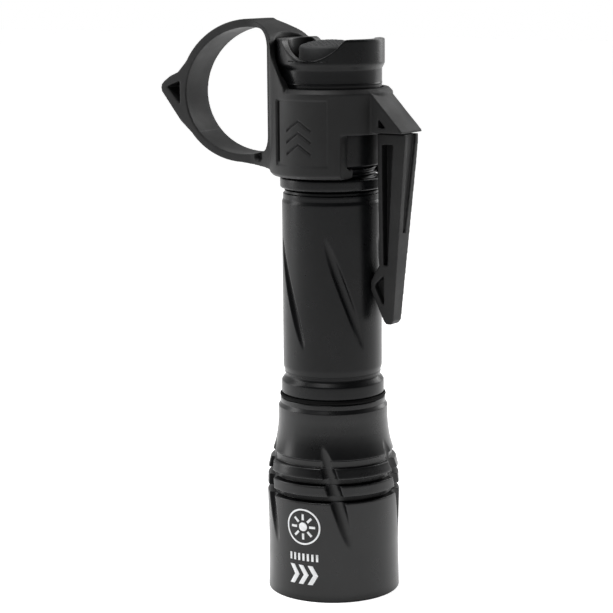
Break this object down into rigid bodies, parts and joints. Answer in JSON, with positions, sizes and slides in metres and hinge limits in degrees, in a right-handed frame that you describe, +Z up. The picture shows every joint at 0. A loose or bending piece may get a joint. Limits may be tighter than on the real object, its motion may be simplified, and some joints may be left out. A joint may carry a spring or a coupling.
{
  "type": "duty flashlight with finger ring",
  "caption": "Compact tail-switch duty flashlight standing on its bezel, with finned head, fluted tube, finger ring collar and pocket clip.",
  "frame": {"origin": "middle of the footprint box on the floor; the light's own axis is parallel to Z, 13.3 mm toward +X from the origin", "axes": "+Z up along the light from bezel to tail, -X toward the finger ring, +X toward the pocket clip, -Y toward the side with the debossed panel"},
  "size_m": [0.0738, 0.0341, 0.147],
  "materials": {
    "anodised": "black hard anodised, satin",
    "spring_steel": "bright",
    "mirror": "polished",
    "brass": "machined",
    "black_nylon": "fine moulded grain",
    "switch_plastic": "moulded",
    "seal_rubber": "matte",
    "button_rubber": "matte, knurled",
    "glass": "coated",
    "circuit": "solder mask",
    "white_board": "matte",
    "phosphor": "clear dome over yellow",
    "cell_wrap": "shrink sleeve"
  },
  "bodies": {
    "head": {"head_body": "anodised", "lens_retaining_ring": "anodised", "lens": "glass", "lens_gasket": "seal_rubber", "reflector": "mirror", "led_emitter": "phosphor", "emitter_board": "white_board", "driver_housing": "brass", "driver_board": "circuit", "driver_spring": "spring_steel"},
    "seam_seal": {"head_seam_seal": "seal_rubber"},
    "barrel": {"battery_tube": "anodised", "front_tube_seal": "seal_rubber", "rear_tube_seal": "seal_rubber", "battery_cell": "cell_wrap", "battery_contact_cap": "spring_steel"},
    "lock_ring": {"lock_ring": "anodised"},
    "tail_contact": {"tail_spring": "spring_steel"},
    "tailcap": {"tailcap_shell": "anodised", "switch_housing": "switch_plastic", "switch_board": "circuit", "switch_clamp_ring": "brass"},
    "button": {"tail_button": "button_rubber", "switch_plunger": "white_board"},
    "ring_collar": {"finger_ring_collar": "black_nylon"},
    "clip_arm": {"pocket_clip_arm": "black_nylon"}
  },
  "joints": [
    {"name": "barrel_lift", "type": "slide", "parent": "head", "child": "seam_seal", "axis": [0, 0, 1], "range_m": [0, 0.0075]},
    {"name": "barrel_turn", "type": "hinge", "parent": "seam_seal", "child": "barrel", "pos_m": [0.0133, 0, 0.05], "axis": [0, 0, 1], "range_deg": [0, 2161]},
    {"name": "lock_ring_turn", "type": "hinge", "parent": "barrel", "child": "lock_ring", "pos_m": [0.0133, 0, 0.1063], "axis": [0, 0, 1], "continuous": true},
    {"name": "tailcap_lift", "type": "slide", "parent": "barrel", "child": "tail_contact", "axis": [0, 0, 1], "range_m": [0, 0.0075]},
    {"name": "tailcap_turn", "type": "hinge", "parent": "tail_contact", "child": "tailcap", "pos_m": [0.0133, 0, 0.12], "axis": [0, 0, 1], "range_deg": [0, 2161]},
    {"name": "button_press", "type": "slide", "parent": "tailcap", "child": "button", "axis": [0, 0, -1], "range_m": [0, 0.0018], "stiffness_N_per_m": 2000, "springref_m": -0.001},
    {"name": "ring_turn", "type": "hinge", "parent": "barrel", "child": "ring_collar", "pos_m": [0.0133, 0, 0.12], "axis": [0, 0, 1], "continuous": true},
    {"name": "clip_flex", "type": "hinge", "parent": "ring_collar", "child": "clip_arm", "pos_m": [0.0367, 0, 0.1192], "axis": [0, -1, 0], "range_deg": [0, 5], "stiffness_Nm_per_rad": 5.5}
  ],
  "couplings": [
    {"joint": "barrel_turn", "follows": "barrel_lift", "rad_per_m": 5026.5},
    {"joint": "tailcap_turn", "follows": "tailcap_lift", "rad_per_m": 5026.5}
  ]
}
